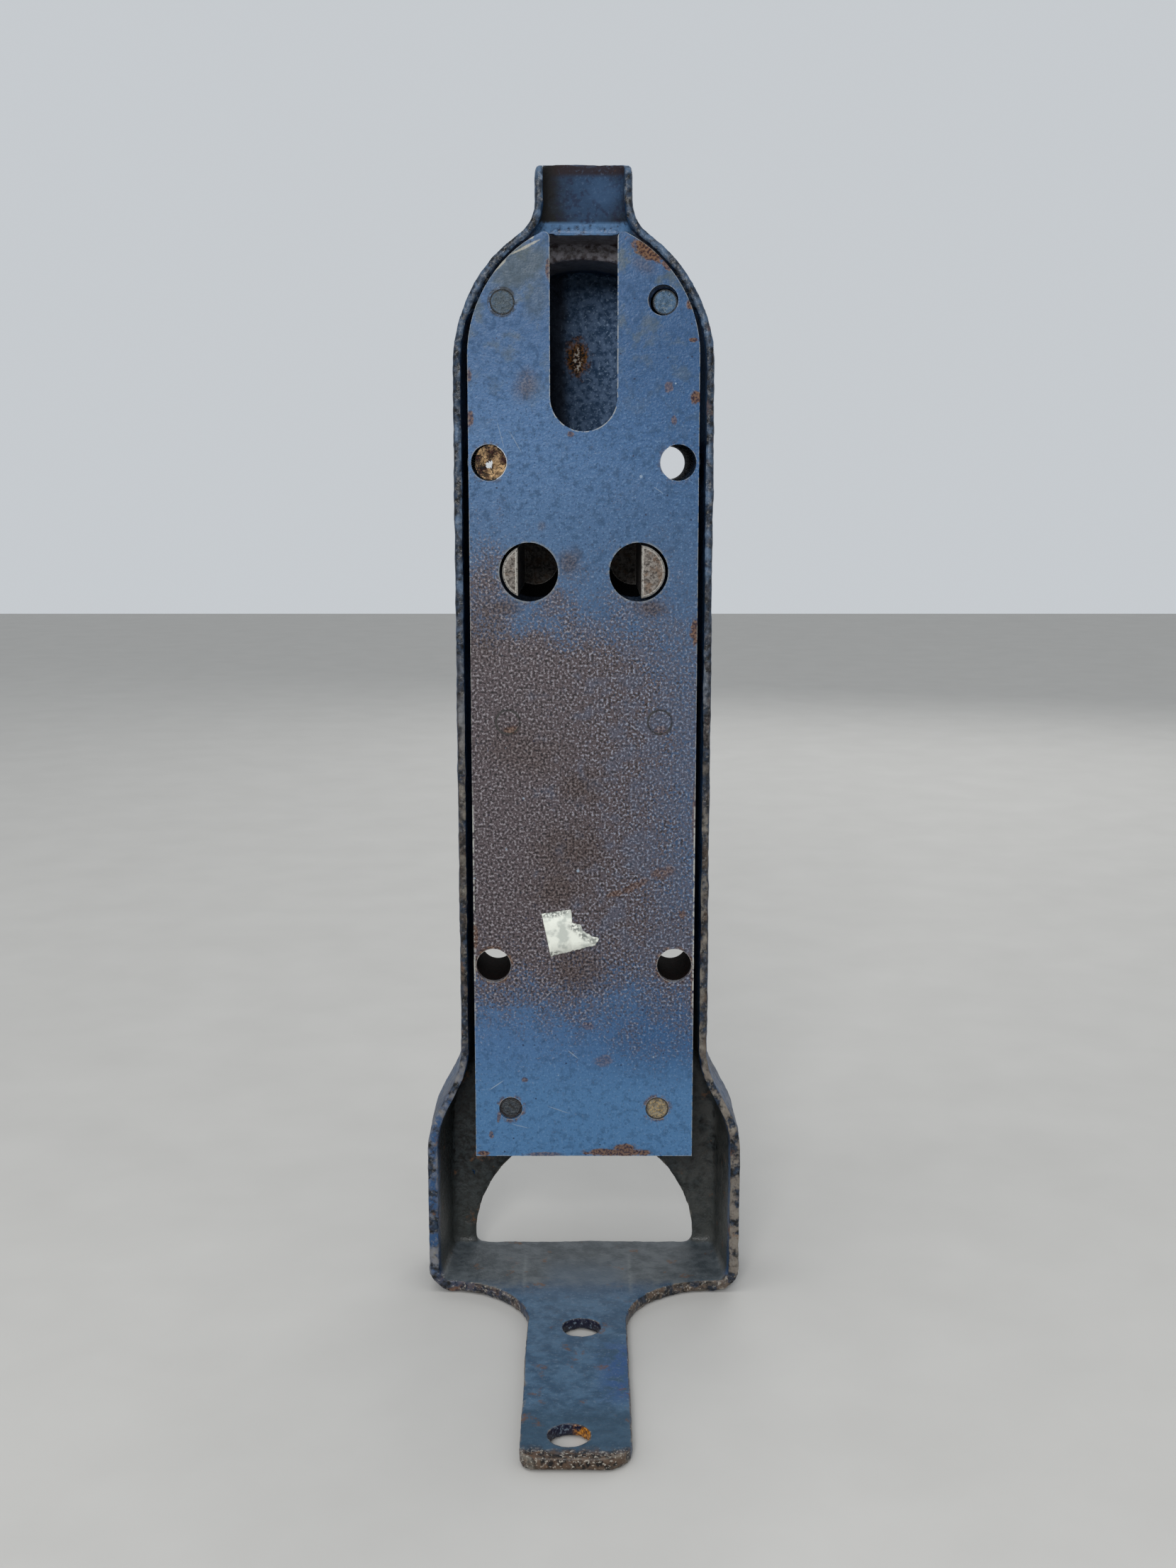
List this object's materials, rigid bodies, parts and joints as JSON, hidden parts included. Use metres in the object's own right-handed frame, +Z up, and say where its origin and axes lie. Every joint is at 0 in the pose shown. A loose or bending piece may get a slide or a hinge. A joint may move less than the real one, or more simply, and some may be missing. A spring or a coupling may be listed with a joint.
{
  "type": "sheet metal brake body",
  "caption": "Standing tool body with a rimmed cast housing, bent bolt-down foot, slotted riveted front plate and turning half-round pins.",
  "frame": {"origin": "on the foot's underside, on the centre line, below the front face of the front plate", "axes": "+Z up along the housing; +Y from the front plate into the housing, so the foot reaches out towards -Y; +X to the right when facing the plate"},
  "size_m": [0.1492, 0.2718, 0.5194],
  "materials": {
    "housing_paint": "dark blue paint over rough casting, chipped",
    "plate_paint": "steel blue paint, worn through and rusty",
    "rivet_steel": "painted over, worn",
    "tube_steel": "dark oily steel",
    "bush_bronze": "dull",
    "pin_steel": "worn and rusty"
  },
  "bodies": {
    "housing": {"bolt_sleeve_high_left": "tube_steel", "bolt_sleeve_high_right": "tube_steel", "bolt_sleeve_low_left": "tube_steel", "bolt_sleeve_low_right": "tube_steel", "bush_left": "bush_bronze", "bush_right": "bush_bronze", "front_plate": "plate_paint", "housing_shell": "housing_paint", "rivet_bottom_left": "rivet_steel", "rivet_bottom_right": "rivet_steel", "rivet_middle_left": "rivet_steel", "rivet_middle_right": "rivet_steel", "rivet_top_left": "rivet_steel", "rivet_top_right": "rivet_steel", "spacer_bottom_left": "tube_steel", "spacer_bottom_right": "tube_steel", "spacer_middle_left": "tube_steel", "spacer_middle_right": "tube_steel"},
    "left_pin": {"half_round_pin_left": "pin_steel", "retaining_ring_left": "pin_steel", "thrust_washer_left": "pin_steel"},
    "right_pin": {"half_round_pin_right": "pin_steel", "retaining_ring_right": "pin_steel", "thrust_washer_right": "pin_steel"}
  },
  "joints": [
    {"name": "left_pin_turn", "type": "hinge", "parent": "housing", "child": "left_pin", "pos_m": [-0.0245, 0.1, 0.343], "axis": [0, 1, 0], "continuous": true},
    {"name": "right_pin_turn", "type": "hinge", "parent": "housing", "child": "right_pin", "pos_m": [0.0245, 0.1, 0.343], "axis": [0, 1, 0], "continuous": true}
  ]
}
